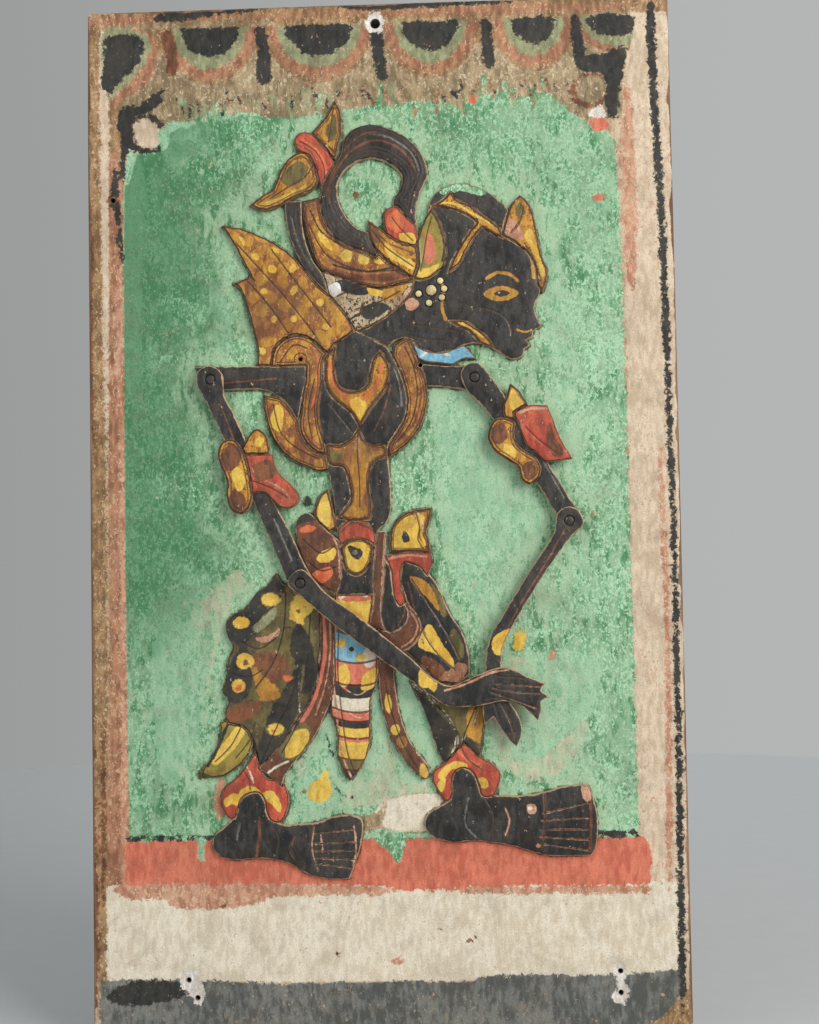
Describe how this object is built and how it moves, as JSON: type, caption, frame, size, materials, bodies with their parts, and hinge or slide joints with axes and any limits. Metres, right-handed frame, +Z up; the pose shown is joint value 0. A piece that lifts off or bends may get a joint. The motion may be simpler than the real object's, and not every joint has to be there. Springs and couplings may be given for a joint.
{
  "type": "wayang panel puppet",
  "caption": "Painted wooden wall panel with a flat carved shadow-play figure whose arms turn on pegs at the shoulders and elbows.",
  "frame": {"origin": "middle of the plank's bottom face", "axes": "+X to the viewer's right, +Y out of the plank's back, +Z up along the plank; the painted front faces -Y"},
  "size_m": [0.34, 0.0353, 0.6],
  "materials": {
    "board_paint": "old matt distemper on gesso, green field with cream, red and black bands, flaking",
    "black_paint": "old matt black paint, worn to bare wood on the edges",
    "gold_paint": "ochre gold paint with brown glaze, worn",
    "brown_gold_paint": "brown paint with ochre flecks, worn",
    "red_paint": "matt red paint, worn edges",
    "brown_paint": "matt brown paint, worn edges",
    "skirt_paint": "dark olive and brown paint with ochre dots",
    "olive_paint": "olive yellow paint, rubbed",
    "blue_paint": "matt light blue paint",
    "bare_gesso": "chipped gesso over wood",
    "pearl_paint": "cream paint",
    "pin_paint": "blackened wooden peg",
    "bare_wood": "bare aged wood"
  },
  "bodies": {
    "panel": {"back_board": "board_paint", "torso": "black_paint", "necklace": "gold_paint", "chest_knot": "brown_gold_paint", "belt_top": "red_paint", "belt_shield": "gold_paint", "head": "black_paint", "crown_straps": "gold_paint", "crown_front": "gold_paint", "chin_strap": "gold_paint", "ear_pearls": "pearl_paint", "collar": "blue_paint", "hair_curl": "black_paint", "hair_band": "brown_gold_paint", "hair_base": "bare_gesso", "nape_crescent": "black_paint", "hair_tip_upper_leaf": "gold_paint", "hair_tip_band": "red_paint", "hair_tip_lower_leaf": "gold_paint", "crest_left_leaf": "gold_paint", "crest_bud": "red_paint", "crest_right_leaf": "olive_paint", "back_wing": "brown_gold_paint", "halo_left_inner": "brown_gold_paint", "halo_left_outer": "brown_gold_paint", "halo_right": "brown_gold_paint", "left_shoulder": "black_paint", "right_shoulder": "black_paint", "shoulder_pins": "pin_paint", "waist_leaf": "gold_paint", "hip_sash": "brown_paint", "kris_handle": "gold_paint", "kris_guard": "red_paint", "front_sash": "brown_paint", "front_drop": "black_paint", "front_round": "brown_paint", "right_skirt": "skirt_paint", "left_skirt": "skirt_paint", "left_fold_band": "brown_paint", "apron": "red_paint", "tail_cloth": "olive_paint", "right_fold_band": "brown_paint", "right_leg_cloth": "skirt_paint", "left_anklet": "red_paint", "left_foot": "black_paint", "right_anklet": "red_paint", "right_foot": "black_paint"},
    "left_upper_arm": {"left_upper_arm": "black_paint", "left_armband_scroll": "gold_paint", "left_armband_leaf": "red_paint", "left_armband_tip": "gold_paint", "left_elbow_pin": "pin_paint", "left_elbow_washer": "bare_wood"},
    "left_forearm": {"left_forearm": "black_paint"},
    "right_upper_arm": {"right_upper_arm": "black_paint", "right_armband_scroll": "gold_paint", "right_armband_leaf": "red_paint", "right_armband_tip": "gold_paint", "right_elbow_pin": "pin_paint"},
    "right_forearm": {"right_forearm": "black_paint"}
  },
  "joints": [
    {"name": "left_shoulder", "type": "hinge", "parent": "panel", "child": "left_upper_arm", "pos_m": [-0.098, -0.0169, 0.381], "axis": [0, -1, 0], "range_deg": [-35, 45]},
    {"name": "left_elbow", "type": "hinge", "parent": "left_upper_arm", "child": "left_forearm", "pos_m": [-0.047, -0.0221, 0.263], "axis": [0, -1, 0], "range_deg": [-55, 75]},
    {"name": "right_shoulder", "type": "hinge", "parent": "panel", "child": "right_upper_arm", "pos_m": [0.054, -0.0169, 0.379], "axis": [0, -1, 0], "range_deg": [-25, 80]},
    {"name": "right_elbow", "type": "hinge", "parent": "right_upper_arm", "child": "right_forearm", "pos_m": [0.106, -0.0195, 0.296], "axis": [0, -1, 0], "range_deg": [-30, 100]}
  ]
}
